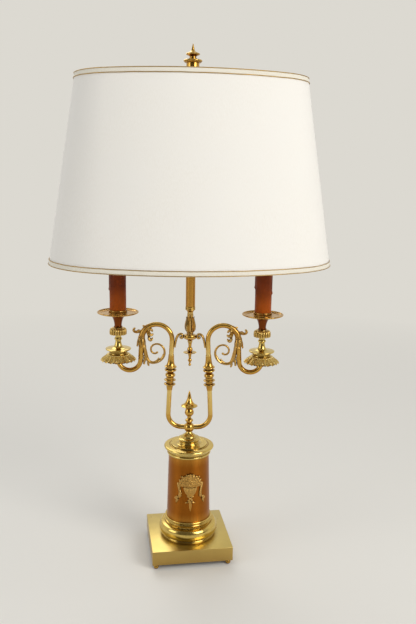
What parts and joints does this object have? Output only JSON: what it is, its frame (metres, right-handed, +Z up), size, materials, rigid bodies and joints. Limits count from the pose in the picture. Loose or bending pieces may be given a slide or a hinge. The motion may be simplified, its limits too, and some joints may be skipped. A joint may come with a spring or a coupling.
{
  "type": "bouillotte lamp",
  "caption": "Brass table lamp with a square plinth, turned column, scrolled candle arms, candle bulbs and an oval cream shade that turns under its finial.",
  "frame": {"origin": "on the lamp's vertical axis, on the plane that its feet stand on", "axes": "+Z up, +X from the left arm to the right arm, -Y towards the drum's ornament"},
  "size_m": [0.418, 0.2918, 0.78],
  "materials": {
    "polished_brass": "polished, lacquered",
    "pale_brass": "polished, light, spun",
    "gilt_brass": "cast and lacquered, darker in the hollows",
    "satin_brass": "satin, toned brown",
    "ballast_iron": "raw casting",
    "zinc_steel": "zinc plated",
    "black_plastic": "moulded",
    "white_plastic": "moulded",
    "lead_insulation": "smooth insulation",
    "amber_wax": "waxed, brown amber, with drips",
    "bulb_glass": "frosted glass over a nickel screw cap",
    "white_wire": "white enamel",
    "shade_laminate": "smooth cream laminate",
    "shade_tape": "cream tape between thin gold lines"
  },
  "bodies": {
    "lamp": {"plinth_feet": "polished_brass", "plinth_shell": "pale_brass", "plinth_ballast": "ballast_iron", "plinth_fasteners": "zinc_steel", "cord_inlet_bush": "black_plastic", "wire_connector": "white_plastic", "column_tie_tube": "zinc_steel", "column_foot": "pale_brass", "column_drum": "satin_brass", "drum_basket": "gilt_brass", "drum_bouquet": "gilt_brass", "drum_garlands": "gilt_brass", "column_collar": "pale_brass", "column_cap": "pale_brass", "column_neck": "pale_brass", "arm_hub": "polished_brass", "hub_finial": "polished_brass", "lower_arm_left": "polished_brass", "lower_arm_right": "polished_brass", "coupling_left": "polished_brass", "coupling_right": "polished_brass", "upper_arm_left": "polished_brass", "upper_arm_right": "polished_brass", "arm_leaf_left": "gilt_brass", "arm_leaf_right": "gilt_brass", "arm_calyx_left": "gilt_brass", "arm_calyx_right": "gilt_brass", "arm_scroll_left": "gilt_brass", "arm_scroll_right": "gilt_brass", "arm_bridge_left": "gilt_brass", "arm_bridge_right": "gilt_brass", "arm_leads": "lead_insulation", "stem_boss": "polished_brass", "stem_pendant": "polished_brass", "stem_vase": "satin_brass", "stem_collar": "polished_brass", "stem_tube": "polished_brass", "stem_tie_rod": "zinc_steel", "shade_seat": "polished_brass", "candle_skirt_left": "gilt_brass", "candle_skirt_right": "gilt_brass", "candle_stand_left": "pale_brass", "candle_stand_right": "pale_brass", "candle_knob_left": "gilt_brass", "candle_knob_right": "gilt_brass", "candle_cup_left": "satin_brass", "candle_cup_right": "satin_brass", "drip_pan_left": "pale_brass", "drip_pan_right": "pale_brass", "candle_sleeve_left": "amber_wax", "candle_sleeve_right": "amber_wax", "candle_nipples": "zinc_steel", "lampholders": "white_plastic"},
    "shade": {"shade_frame": "white_wire", "shade_bottom_ring": "white_wire", "shade_cover": "shade_laminate", "shade_tapes": "shade_tape"},
    "finial": {"top_finial": "polished_brass"},
    "bulb_left": {"bulb_left": "bulb_glass"},
    "bulb_right": {"bulb_right": "bulb_glass"}
  },
  "joints": [
    {"name": "shade_turn", "type": "hinge", "parent": "lamp", "child": "shade", "pos_m": [0, 0, 0.7336], "axis": [0, 0, 1], "continuous": true},
    {"name": "finial_screw", "type": "hinge", "parent": "lamp", "child": "finial", "pos_m": [0, 0, 0.735], "axis": [0, 0, 1], "continuous": true},
    {"name": "bulb_left_screw", "type": "hinge", "parent": "lamp", "child": "bulb_left", "pos_m": [-0.1105, 0, 0.48], "axis": [0, 0, 1], "continuous": true},
    {"name": "bulb_right_screw", "type": "hinge", "parent": "lamp", "child": "bulb_right", "pos_m": [0.1105, 0, 0.48], "axis": [0, 0, 1], "continuous": true}
  ]
}
